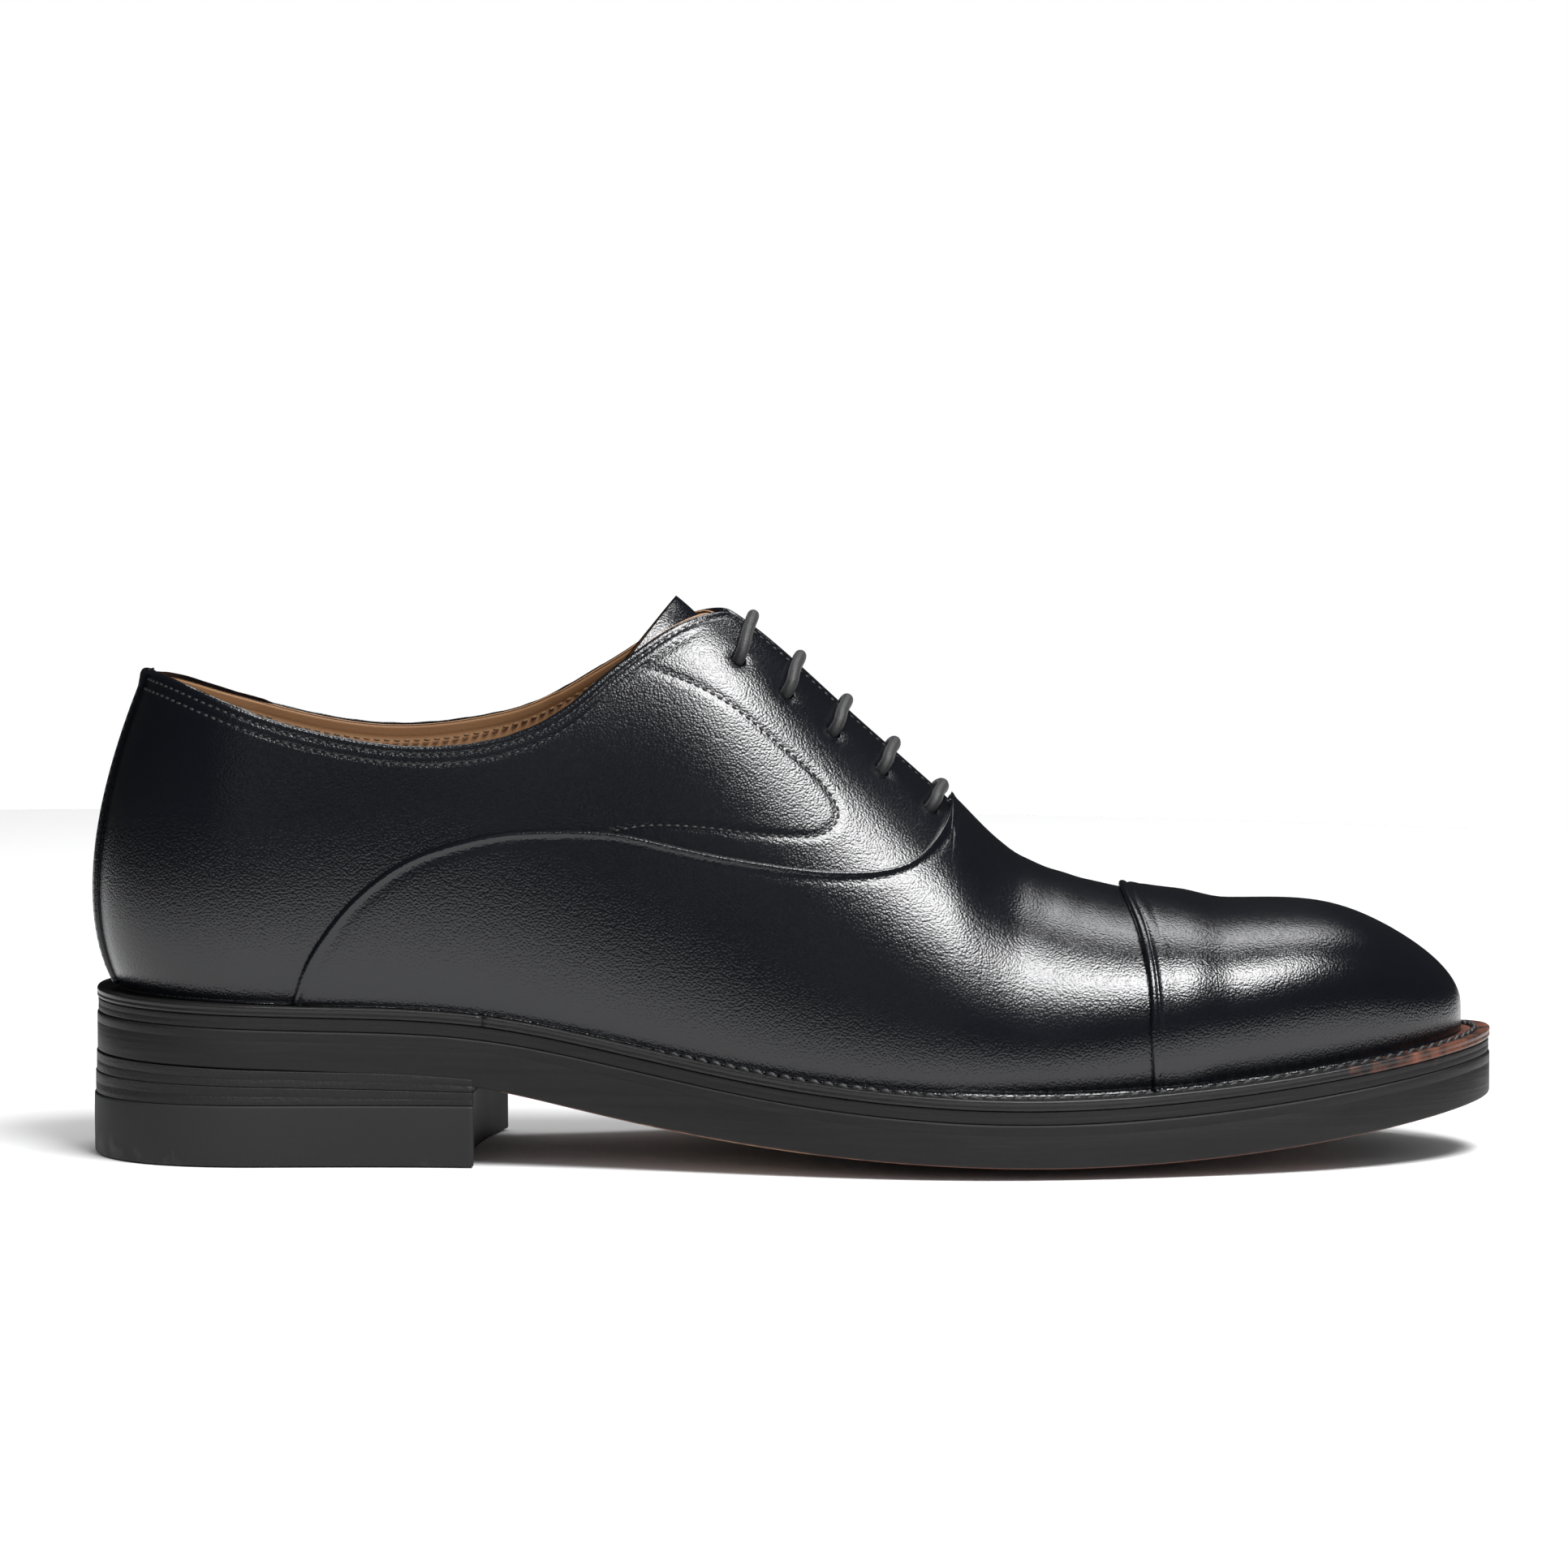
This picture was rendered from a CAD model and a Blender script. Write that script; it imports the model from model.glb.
import bpy
import bmesh
import math
import numpy as np
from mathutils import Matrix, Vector


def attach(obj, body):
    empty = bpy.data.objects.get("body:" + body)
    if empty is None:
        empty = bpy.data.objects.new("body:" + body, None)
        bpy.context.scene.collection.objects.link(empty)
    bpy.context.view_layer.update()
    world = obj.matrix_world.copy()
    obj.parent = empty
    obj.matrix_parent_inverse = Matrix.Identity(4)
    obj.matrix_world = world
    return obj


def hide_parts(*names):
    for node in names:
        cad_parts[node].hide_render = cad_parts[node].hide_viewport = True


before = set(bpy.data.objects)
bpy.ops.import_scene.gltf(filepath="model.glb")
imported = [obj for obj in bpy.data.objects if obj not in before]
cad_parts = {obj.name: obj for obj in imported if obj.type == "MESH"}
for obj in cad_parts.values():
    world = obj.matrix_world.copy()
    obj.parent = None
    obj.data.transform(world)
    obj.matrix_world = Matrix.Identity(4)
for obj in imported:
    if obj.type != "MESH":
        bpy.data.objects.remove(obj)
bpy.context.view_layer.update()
print("frame loaded")

# Shape of the shoe, in millimetres: stations count forward from the heel back,
# heights up from the ground, and side -1 is the lateral side
shape = {
    "length": 302.7, "sideways": 2.2, "toeTip": 296.6, "closesFrom": 243.0,
    "toeRound": 2.4, "heelAxis": 38.0, "heelRound": 2.25, "apex": 150.0,
    "heelBack": (31.8, 44.8, 29.7), "stack": 13.7, "footGap": 0.2,
}


def through(*stops):
    xs, ys = np.array(stops, float).T
    n = len(xs)
    gap = np.diff(xs)
    system, right = np.eye(n), np.zeros(n)
    for i in range(1, n - 1):
        system[i, i - 1:i + 2] = gap[i - 1], 2 * (gap[i - 1] + gap[i]), gap[i]
        right[i] = 6 * ((ys[i + 1] - ys[i]) / gap[i] - (ys[i] - ys[i - 1]) / gap[i - 1])
    bend = np.linalg.solve(system, right)

    def value(x):
        x = np.clip(np.asarray(x, float), xs[0], xs[-1])
        i = np.clip(np.searchsorted(xs, x) - 1, 0, n - 2)
        after, before, g = xs[i + 1] - x, x - xs[i], gap[i]
        curve = (bend[i] * after**3 + bend[i + 1] * before**3) / (6 * g)
        return (curve + (ys[i] / g - bend[i] * g / 6) * after
                + (ys[i + 1] / g - bend[i + 1] * g / 6) * before)

    return value


soleEdge = through((0, 22.1), (50, 20.2), (86, 18.4), (112, 13.9), (145, 7.6), (178, 3.9),
                   (205, 3.0), (235, 4.3), (268, 7.9), (303, 13.1))
soleCrown = through((0, 0), (50, 0.2), (84, 2.2), (112, 4.0), (145, 3.8), (178, 3.2),
                    (205, 3.0), (240, 2.6), (275, 1.6), (303, 0.6))
instep = through((38, 150), (84, 149), (112, 133), (140, 117), (163, 96.3), (186, 75.4),
                 (196, 66.6), (208, 60.6), (228, 55.6), (250, 54.2), (271, 55.0), (284, 53.2),
                 (297, 51))
lateralWidths = [
    through((38, 29), (84, 30), (118, 35.5), (150, 43), (184, 48.5), (210, 47.5), (236, 42.5),
            (262, 36.5), (297, 31)),
    through((38, 37), (84, 37), (118, 42), (150, 48.5), (184, 54.5), (210, 54), (236, 50),
            (262, 43.5), (297, 36)),
    through((38, 29), (84, 30), (118, 26.5), (150, 25), (184, 28.5), (210, 34), (236, 36),
            (262, 34), (297, 28)),
]
medialWidths = [
    through((38, 29), (84, 26.5), (118, 29), (150, 36), (184, 42.5), (210, 44), (236, 41.5),
            (262, 36.5), (297, 31)),
    through((38, 37), (84, 34), (118, 37), (150, 42.5), (184, 48.5), (210, 50.5), (236, 48.5),
            (262, 43), (297, 36)),
    through((38, 29), (84, 30), (118, 26), (150, 23), (184, 24.5), (210, 29), (236, 32),
            (262, 32), (297, 28)),
]
bellyHeight = through((0, 0.20), (38, 0.20), (84, 0.22), (118, 0.28), (150, 0.31),
                      (184, 0.37), (210, 0.44), (250, 0.52), (297, 0.56))
shoulderHeight = through((0, 0.607), (38, 0.61), (84, 0.68), (112, 0.82), (134, 0.97),
                         (150, 1.0), (184, 1.0), (297, 1.0))
weltMargin = through((0, 4.8), (50, 3.8), (80, 3.6), (120, 4.2), (150, 5.4), (185, 6.4),
                     (303, 6.2))


def smoothStep(x, start, end):
    u = np.clip((np.asarray(x, float) - start) / (end - start), 0, 1)
    return u * u * (3 - 2 * u)


def weltTop(x):
    return soleEdge(x) + shape["stack"]


def closing(x, depth=0.0):
    along = (np.asarray(x, float) - shape["closesFrom"]) / (
        shape["toeTip"] - depth - shape["closesFrom"])
    return np.sqrt(np.maximum(0, 1 - np.clip(along, 0, 1)**shape["toeRound"]))


def upperAt(s, t, side, depth=0.0):
    # a point of the upper: s along the shoe, t up the side, depth below the outer face
    s, t, depth = np.broadcast_arrays(np.asarray(s, float), np.asarray(t, float),
                                      np.asarray(depth, float))
    axis = shape["heelAxis"]
    x = np.maximum(s, axis)
    widths = lateralWidths if side < 0 else medialWidths
    close = closing(x, depth)
    floor = weltTop(x) + shape["footGap"]
    slope = np.minimum(((instep(x + 1) - instep(x - 1)) / 2)**2, 1.2)
    top = instep(x) - depth * np.sqrt(1 + slope)
    top = np.where(x > shape["closesFrom"], 31 + (top - 31) * close, top)
    rise = top - floor
    across = [(w(x) - depth) * close for w in widths]
    up = [floor, floor + bellyHeight(x) * rise, floor + shoulderHeight(x) * rise]
    angle = np.radians(90 * np.clip(axis - s, 0, axis) / axis)
    n = shape["heelRound"]
    reach = []
    for i in range(3):
        back = np.abs(np.sin(angle)) / (shape["heelBack"][i] - depth)
        reach.append(((np.abs(np.cos(angle)) / np.maximum(across[i], 1e-6))**n
                      + back**n)**(-1 / n))
    heelFloor = weltTop(axis - reach[0] * np.sin(angle)) + shape["footGap"]
    inHeel = s < axis
    for i, share in enumerate((0.0, 0.20, 0.608)):
        up[i] = np.where(inHeel, heelFloor + share * (shape["apex"] - heelFloor), up[i])
    u = 1 - t
    b = (u**3, 3 * u * u * t, 3 * u * t * t, t**3)
    r = b[0] * reach[0] + b[1] * reach[1] + b[2] * reach[2]
    z = b[0] * up[0] + b[1] * up[1] + b[2] * up[2] + b[3] * top
    px = np.where(inHeel, axis - r * np.sin(angle), s)
    py = side * r * np.where(inHeel, np.cos(angle), 1.0)
    return np.stack([px, py, z], -1)


def outwardAt(s, t, side, depth=0.0):
    # unit vector square to the upper, pointing out
    s, t = np.broadcast_arrays(np.asarray(s, float), np.asarray(t, float))
    tip = shape["toeTip"]
    along = (upperAt(np.minimum(s + 0.4, tip), t, side, depth)
             - upperAt(np.maximum(s - 0.4, 0), t, side, depth))
    upward = (upperAt(s, np.minimum(t + 0.004, 1), side, depth)
              - upperAt(s, np.maximum(t - 0.004, 0), side, depth))
    normal = np.cross(along, upward) * (-side)
    size = np.linalg.norm(normal, axis=-1, keepdims=True)
    return normal / np.maximum(size, 1e-9)


def toModel(points):
    p = np.array(points, float)
    p[..., 0] -= shape["length"] / 2
    p[..., 1] += shape["sideways"]
    return p / 1000


def lineOf(points, count=900):
    # dense smooth line through pattern points, by chord length
    p = np.array(points, float)
    along = np.concatenate([[0], np.cumsum(np.linalg.norm(np.diff(p, axis=0), axis=1))])
    at = np.linspace(0, along[-1], count)
    return np.stack([through(*zip(along, p[:, i]))(at) for i in range(p.shape[1])], -1)


# Pattern lines seen from the side
pattern = {
    "toplineLateral": lineOf([(-6, 104.2), (16.5, 103.8), (26, 100.5), (39.4, 95.6),
                              (52.7, 92.1), (66.1, 89.9), (74.8, 89.5), (82.8, 90.1),
                              (92.9, 92.4), (104.8, 98.8), (112, 104.9), (119, 110),
                              (126, 114.4), (133, 116.9), (139, 117.6)]),
    "toplineMedial": lineOf([(-6, 104.2), (16.5, 102.4), (25, 99.3), (35.2, 96.1), (49, 92.7),
                             (63, 90.9), (73.3, 91.2), (83.8, 92.7), (94.2, 95.4),
                             (106.8, 102.2), (114.2, 106.8), (121, 111.4), (127, 114.9),
                             (133, 117.0), (139, 117.6)]),
    "vampSeam": lineOf([(44.8, 33), (46.2, 37.2), (48, 42.3), (52, 49.1), (57.4, 55.8),
                        (63.5, 61.2), (71.6, 66), (79.6, 68.7), (89.6, 70.8), (99.7, 71.4),
                        (114.2, 70.9), (127, 68.3), (144.1, 65), (158.3, 63.1),
                        (165.4, 62.8), (172.5, 63.3), (178.3, 65.4), (182.7, 69.4),
                        (185.4, 73.4), (186.6, 76.5)]),
    "capSeam": lineOf([(221.6, 62), (222.7, 56.1), (224.3, 52.2), (225.8, 46.3),
                       (226.7, 40.1), (227.1, 32.1), (227.5, 21.9), (227.7, 12)]),
    "facingStitch": lineOf([(120.6, 105.8), (129.9, 102.5), (138.6, 97.8),
                            (148.9, 89.7), (155.8, 83.8), (160.1, 78.7), (161.5, 74.6),
                            (159.2, 71.6), (153.2, 70.6), (145.5, 71), (135.2, 72.2),
                            (126.6, 72.8), (119.7, 72.6), (113.2, 71.4)]),
}
laceRows = [140.4, 150.6, 160.7, 171.0, 181.4]
eyeletAcross = 16.5


def heightOn(line, x):
    # height of a pattern line over a station, for lines that run forward
    return np.interp(x, line[:, 0], line[:, 1])


def bisect(test, low, high, rounds=34):
    for _ in range(rounds):
        middle = (low + high) / 2
        over = test(middle)
        high = np.where(over, middle, high)
        low = np.where(over, low, middle)
    return (low + high) / 2


def upToLine(s, side, line, depth=0.0):
    s = np.asarray(s, float)

    def over(t):
        p = upperAt(s, t, side, depth)
        return p[..., 2] > heightOn(line, p[..., 0])

    return bisect(over, np.zeros_like(s), np.ones_like(s))


def upToAcross(s, side, across, depth=0.0):
    s = np.asarray(s, float)

    def over(t):
        return np.abs(upperAt(s, t, side, depth)[..., 1]) < across

    return bisect(over, np.full_like(s, 0.42), np.ones_like(s))


def upToHeight(s, side, height):
    s = np.asarray(s, float)
    return bisect(lambda t: upperAt(s, t, side)[..., 2] > height, np.zeros_like(s),
                  np.ones_like(s))


def facingEdge(x):
    # half the gap between the facings
    return np.interp(x, [120, 139, 187], [6.5, 5.2, 2.0])


def collarTop(s, side, depth=0.0):
    # where the quarter ends: the topline, then the facing edge, with a soft corner
    line = pattern["toplineLateral"] if side < 0 else pattern["toplineMedial"]
    s = np.asarray(s, float)
    collar = np.where(s < 138.5, upToLine(np.minimum(s, 138.5), side, line, depth), 1.2)
    facing = np.where(s > 122, upToAcross(np.maximum(s, 122), side,
                                          facingEdge(np.maximum(s, 122)), depth), 1.2)
    soft = 0.012
    return -soft * np.log(np.exp(-collar / soft) + np.exp(-facing / soft))


# Mesh making

def addMesh(name, points, faces, weld=True):
    mesh = bpy.data.meshes.new(name)
    mesh.from_pydata(toModel(points).tolist(), [], [tuple(f) for f in faces])
    if weld:
        work = bmesh.new()
        work.from_mesh(mesh)
        bmesh.ops.remove_doubles(work, verts=work.verts, dist=2e-6)
        work.to_mesh(mesh)
        work.free()
    mesh.polygons.foreach_set("use_smooth", [True] * len(mesh.polygons))
    mesh.update()
    obj = bpy.data.objects.new(name, mesh)
    bpy.context.scene.collection.objects.link(obj)
    return obj


def gridFaces(rows, cols, first=0, flip=False, closed=False):
    i, j = np.meshgrid(np.arange(rows - 1), np.arange(cols if closed else cols - 1),
                       indexing="ij")
    nextJ = (j + 1) % cols
    quads = np.stack([i * cols + j, i * cols + nextJ, (i + 1) * cols + nextJ,
                      (i + 1) * cols + j], -1).reshape(-1, 4) + first
    return quads[:, ::-1] if flip else quads


def shellParts(outer, inner, first=0, flip=False, open=""):
    # closed skin between two grids; open names borders left open: s start, e end, l low, h high
    rows, cols = outer.shape[:2]
    count = rows * cols
    faces = [gridFaces(rows, cols, first, flip), gridFaces(rows, cols, first + count, not flip)]
    index = np.arange(count).reshape(rows, cols)
    borders = {"s": (index[0], False), "e": (index[-1], True), "l": (index[:, 0], True),
               "h": (index[:, -1], False)}
    for key, (line, turned) in borders.items():
        if key in open:
            continue
        quads = np.stack([line[:-1], line[1:], line[1:] + count, line[:-1] + count], -1) + first
        faces.append(quads if turned == flip else quads[:, ::-1])
    points = np.concatenate([outer.reshape(-1, 3), inner.reshape(-1, 3)])
    return points, np.concatenate(faces)


def joinParts(parts):
    points, faces, offset = [], [], 0
    for p, f in parts:
        points.append(p)
        faces.append(np.asarray(f) + offset)
        offset += len(p)
    return np.concatenate(points), np.concatenate(faces)


def joinAny(parts):
    points, faces, offset = [], [], 0
    for p, f in parts:
        points.append(np.asarray(p))
        faces += [[int(v) + offset for v in face] for face in f]
        offset += len(p)
    return np.concatenate(points), faces


def rowsFromTop(s, low, high, side, steps, count, depth=0.0):
    # t values down each column: fine steps from the top edge in mm, then even steps
    fine = np.array(steps, float)
    samples = np.linspace(0, 1, 50)
    t = high[:, None] + (low - high)[:, None] * samples[None]
    p = upperAt(s[:, None], t, side, depth)
    run = np.concatenate([np.zeros((len(s), 1)),
                          np.cumsum(np.linalg.norm(np.diff(p, axis=1), axis=2), axis=1)], 1)
    out = np.zeros((len(s), count))
    far = np.zeros((len(s), count))
    for k in range(len(s)):
        total = run[k, -1]
        scale = min(1.0, total * 0.6 / fine[-1])
        d = np.concatenate([fine * scale, np.linspace(fine[-1] * scale, total,
                                                      count - len(fine) + 1)[1:]])
        far[k] = d
        out[k] = np.interp(d, run[k], t[k])
    return out, far


def bump(x, centre, width):
    return np.exp(-((x - centre) / width)**2)


def edgeRoll(e, radius):
    # height lost where an edge is turned over with this radius
    inside = np.clip(radius - e, 0, radius)
    return radius - np.sqrt(np.maximum(radius**2 - inside**2, 0))


def stations(*stops):
    # station list from (value, spacing) pairs
    out = []
    for (a, step), (b, _) in zip(stops, stops[1:]):
        n = max(1, int(round((b - a) / step)))
        out += list(np.linspace(a, b, n, endpoint=False))
    return np.array(out + [stops[-1][0]])


def distanceToLine(points, line):
    out = np.full(len(points), 1e9)
    for i in range(0, len(points), 4000):
        gap = points[i:i + 4000, None] - line[None]
        out[i:i + 4000] = np.sqrt((gap**2).sum(-1).min(1))
    return out


vampRise, capRise = 1.35, 1.45  # how far the lapped edges stand above the piece below


def vampLift(s):
    return vampRise * (1 - smoothStep(s, 184, 204))


def capLift(s):
    return capRise * (1 - smoothStep(s, 235, 246))


def faceOutward(mesh):
    work = bmesh.new()
    work.from_mesh(mesh)
    bmesh.ops.recalc_face_normals(work, faces=work.faces)
    work.to_mesh(mesh)
    work.free()


# Camera, lights, floor and backdrop
studio = {
    "lookAt": (149.96, 0.0, 78.93), "elevation": 4.5, "distance": 1.5, "lens": 159.3,
    "key": {"azimuth": 37, "elevation": 61, "distance": 1.25, "size": (0.64, 0.5), "power": 30},
    "front": {"azimuth": -10, "elevation": 21, "distance": 1.6, "size": (0.6, 0.14), "power": 0.25},
    "back": {"azimuth": 165, "elevation": 60, "distance": 1.4, "size": (0.9, 0.4), "power": 9},
    "floorColour": (0.68, 0.68, 0.684), "floorPale": (0.7, 0.7, 0.704),
    "floorRadius": 900, "worldStrength": 0.55, "worldForGloss": 0.02,
}
scene = bpy.context.scene
lookAt = Vector(toModel(studio["lookAt"]))


def fromAngles(azimuth, elevation, distance):
    a, e = math.radians(azimuth), math.radians(elevation)
    return lookAt + distance * Vector((math.sin(a) * math.cos(e), -math.cos(a) * math.cos(e),
                                       math.sin(e)))


def aimed(obj):
    obj.rotation_euler = (lookAt - obj.location).to_track_quat("-Z", "Y").to_euler()
    scene.collection.objects.link(obj)
    return obj


cameraData = bpy.data.cameras.new("camera")
cameraData.lens = studio["lens"]
cameraData.sensor_width = 36
camera = bpy.data.objects.new("camera", cameraData)
camera.location = fromAngles(0, studio["elevation"], studio["distance"])
scene.camera = aimed(camera)
scene.view_settings.view_transform = "Standard"

for lightName in ("key", "front", "back"):
    spec = studio[lightName]
    lightData = bpy.data.lights.new(lightName, "AREA")
    lightData.shape = "RECTANGLE"
    lightData.size, lightData.size_y = spec["size"]
    lightData.energy = spec["power"]
    light = bpy.data.objects.new(lightName, lightData)
    light.location = fromAngles(spec["azimuth"], spec["elevation"], spec["distance"])
    aimed(light)

world = bpy.data.worlds.new("studio")
scene.world = world
world.use_nodes = True
tree = world.node_tree
tree.nodes.clear()
output = tree.nodes.new("ShaderNodeOutputWorld")
path = tree.nodes.new("ShaderNodeLightPath")
dim = tree.nodes.new("ShaderNodeBackground")
bright = tree.nodes.new("ShaderNodeBackground")
gloss = tree.nodes.new("ShaderNodeBackground")
mixCamera = tree.nodes.new("ShaderNodeMixShader")
mixGloss = tree.nodes.new("ShaderNodeMixShader")
dim.inputs["Strength"].default_value = studio["worldStrength"]
gloss.inputs["Strength"].default_value = studio["worldForGloss"]
bright.inputs["Strength"].default_value = 1.0
for node in (dim, bright, gloss):
    node.inputs["Color"].default_value = (1, 1, 1, 1)
tree.links.new(path.outputs["Is Glossy Ray"], mixGloss.inputs[0])
tree.links.new(dim.outputs[0], mixGloss.inputs[1])
tree.links.new(gloss.outputs[0], mixGloss.inputs[2])
tree.links.new(path.outputs["Is Camera Ray"], mixCamera.inputs[0])
tree.links.new(mixGloss.outputs[0], mixCamera.inputs[1])
tree.links.new(bright.outputs[0], mixCamera.inputs[2])
tree.links.new(mixCamera.outputs[0], output.inputs[0])
print("camera and lights placed")


# Materials: shared effects are node groups, the shader stays in each material

def newGroup(name, inputs, outputs):
    group = bpy.data.node_groups.new(name, "ShaderNodeTree")
    for key, value in inputs.items():
        kind = "NodeSocketColor" if isinstance(value, tuple) else "NodeSocketFloat"
        socket = group.interface.new_socket(key, in_out="INPUT", socket_type=kind)
        socket.default_value = value
    for key, kind in outputs.items():
        group.interface.new_socket(key, in_out="OUTPUT", socket_type=kind)
    start = group.nodes.new("NodeGroupInput")
    end = group.nodes.new("NodeGroupOutput")
    return group, start.outputs, end.inputs


def put(tree, kind, values=None, **settings):
    node = tree.nodes.new("ShaderNode" + kind)
    for key, value in settings.items():
        setattr(node, key, value)
    for key, value in (values or {}).items():
        if isinstance(value, bpy.types.NodeSocket):
            tree.links.new(value, node.inputs[key])
        else:
            node.inputs[key].default_value = value
    return node


def sumOf(tree, *parts):
    total = parts[0]
    for part in parts[1:]:
        total = put(tree, "Math", {0: total, 1: part}, operation="ADD").outputs[0]
    return total


def timesOf(tree, a, b):
    return put(tree, "Math", {0: a, 1: b}, operation="MULTIPLY").outputs[0]


def mixColour(tree, factor, a, b, mode="MIX"):
    node = put(tree, "Mix", data_type="RGBA", blend_type=mode)
    for key, value in ((0, factor), (6, a), (7, b)):
        if isinstance(value, bpy.types.NodeSocket):
            tree.links.new(value, node.inputs[key])
        elif isinstance(value, tuple):
            node.inputs[key].default_value = value + (1,) * (4 - len(value))
        else:
            node.inputs[key].default_value = value
    return node.outputs[2]


# leather grain: small pebbles, pores and slow wrinkles, as a height
grainGroup, grainIn, grainOut = newGroup(
    "leatherGrain", {"Scale": 1900.0, "Pebble": 1.0, "Wrinkle": 1.0},
    {"Height": "NodeSocketFloat", "Mottle": "NodeSocketFloat"})
place = put(grainGroup, "TexCoord").outputs["Object"]
warp = put(grainGroup, "TexNoise", {"Vector": place, "Scale": 420.0, "Detail": 2.0})
bent = put(grainGroup, "VectorMath", {0: place}, operation="ADD")
shiftBy = put(grainGroup, "VectorMath", {0: warp.outputs["Color"]}, operation="SCALE")
shiftBy.inputs["Scale"].default_value = 0.0005
grainGroup.links.new(shiftBy.outputs[0], bent.inputs[1])
pebble = put(grainGroup, "TexVoronoi", {"Vector": bent.outputs[0], "Scale": grainIn["Scale"]},
             feature="F1")
pebbleHeight = timesOf(grainGroup, pebble.outputs["Distance"], grainIn["Pebble"])
fine = put(grainGroup, "TexNoise", {"Vector": place, "Scale": 5200.0, "Detail": 2.0})
slow = put(grainGroup, "TexNoise", {"Vector": place, "Scale": 55.0, "Detail": 4.0})
wrinkle = timesOf(grainGroup, slow.outputs["Fac"], grainIn["Wrinkle"])
height = sumOf(grainGroup, timesOf(grainGroup, pebbleHeight, -0.55),
               timesOf(grainGroup, fine.outputs["Fac"], 0.25), timesOf(grainGroup, wrinkle, 1.2))
grainGroup.links.new(height, grainOut["Height"])
mottle = put(grainGroup, "TexNoise", {"Vector": place, "Scale": 30.0, "Detail": 5.0})
grainGroup.links.new(mottle.outputs["Fac"], grainOut["Mottle"])

# worn places: a mask from the piece's own wear attribute, broken up by noise
wearGroup, wearIn, wearOut = newGroup("edgeWear", {"Amount": 1.0, "Scale": 260.0},
                                      {"Mask": "NodeSocketFloat"})
worn = put(wearGroup, "Attribute", attribute_name="wear").outputs["Fac"]
speckle = put(wearGroup, "TexNoise", {"Scale": wearIn["Scale"], "Detail": 6.0,
                                      "Vector": put(wearGroup, "TexCoord").outputs["Object"]})
wearSum = sumOf(wearGroup, timesOf(wearGroup, worn, wearIn["Amount"]),
                put(wearGroup, "Math", {0: speckle.outputs["Fac"], 1: 0.5},
                    operation="SUBTRACT").outputs[0])
wearGroup.links.new(put(wearGroup, "MapRange", {0: wearSum, 1: 0.35, 2: 0.75}).outputs[0],
                    wearOut["Mask"])

# lines pressed along an edge: level layers of a stacked or burnished edge
layerGroup, layerIn, layerOut = newGroup("edgeLayers", {"Scale": 900.0},
                                         {"Height": "NodeSocketFloat"})
spread = put(layerGroup, "Mapping", {"Vector": put(layerGroup, "TexCoord").outputs["Object"],
                                     "Scale": (0.04, 0.04, 1.0)})
streak = put(layerGroup, "TexNoise", {"Vector": spread.outputs[0], "Scale": layerIn["Scale"],
                                      "Detail": 3.0})
layerGroup.links.new(streak.outputs["Fac"], layerOut["Height"])

# fibres for canvas, cork and thread
fibreGroup, fibreIn, fibreOut = newGroup("weave", {"Scale": 1400.0},
                                         {"Height": "NodeSocketFloat", "Shade": "NodeSocketFloat"})
at = put(fibreGroup, "TexCoord").outputs["Object"]
warpYarn = put(fibreGroup, "TexWave", {"Vector": at, "Scale": fibreIn["Scale"]},
               bands_direction="DIAGONAL")
weftYarn = put(fibreGroup, "TexWave", {"Vector": at, "Scale": fibreIn["Scale"]},
               bands_direction="Z")
woven = timesOf(fibreGroup, warpYarn.outputs["Fac"], weftYarn.outputs["Fac"])
fibreGroup.links.new(woven, fibreOut["Height"])
fuzz = put(fibreGroup, "TexNoise", {"Vector": at, "Scale": 900.0, "Detail": 5.0})
fibreGroup.links.new(fuzz.outputs["Fac"], fibreOut["Shade"])


def startMaterial(name, shader):
    material = bpy.data.materials.new(name)
    material.use_nodes = True
    tree = material.node_tree
    tree.nodes.clear()
    end = tree.nodes.new("ShaderNodeOutputMaterial")
    principled = tree.nodes.new("ShaderNodeBsdfPrincipled")
    tree.links.new(principled.outputs[0], end.inputs[0])
    for key, value in shader.items():
        principled.inputs[key].default_value = value
    return material, tree, principled.inputs


def useGroup(tree, group, values):
    node = tree.nodes.new("ShaderNodeGroup")
    node.node_tree = group
    for key, value in values.items():
        node.inputs[key].default_value = value
    return node.outputs


def bumpFrom(tree, height, strength, distance):
    return put(tree, "Bump", {"Height": height, "Strength": strength,
                              "Distance": distance}).outputs[0]


def leatherMaterial(name, dark, light, grain, roughness=(0.3, 0.5), wornColour=None,
                    wearAmount=1.0, bumpSize=0.00012, wrinkle=1.0, scale=1900.0, specular=0.5):
    material, tree, inputs = startMaterial(name, {"Specular IOR Level": specular})
    effect = useGroup(tree, grainGroup, {"Scale": scale, "Pebble": grain, "Wrinkle": wrinkle})
    colour = mixColour(tree, effect["Mottle"], dark, light)
    rough = put(tree, "MapRange", {0: effect["Mottle"], 1: 0.3, 2: 0.7, 3: roughness[0],
                                   4: roughness[1]}).outputs[0]
    if wornColour:
        mask = useGroup(tree, wearGroup, {"Amount": wearAmount})["Mask"]
        colour = mixColour(tree, mask, colour, wornColour)
        rough = put(tree, "MapRange", {0: mask, 3: rough, 4: 0.6}).outputs[0]
    tree.links.new(colour, inputs["Base Color"])
    tree.links.new(rough, inputs["Roughness"])
    tree.links.new(bumpFrom(tree, effect["Height"], 0.6, bumpSize), inputs["Normal"])
    return material


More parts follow.
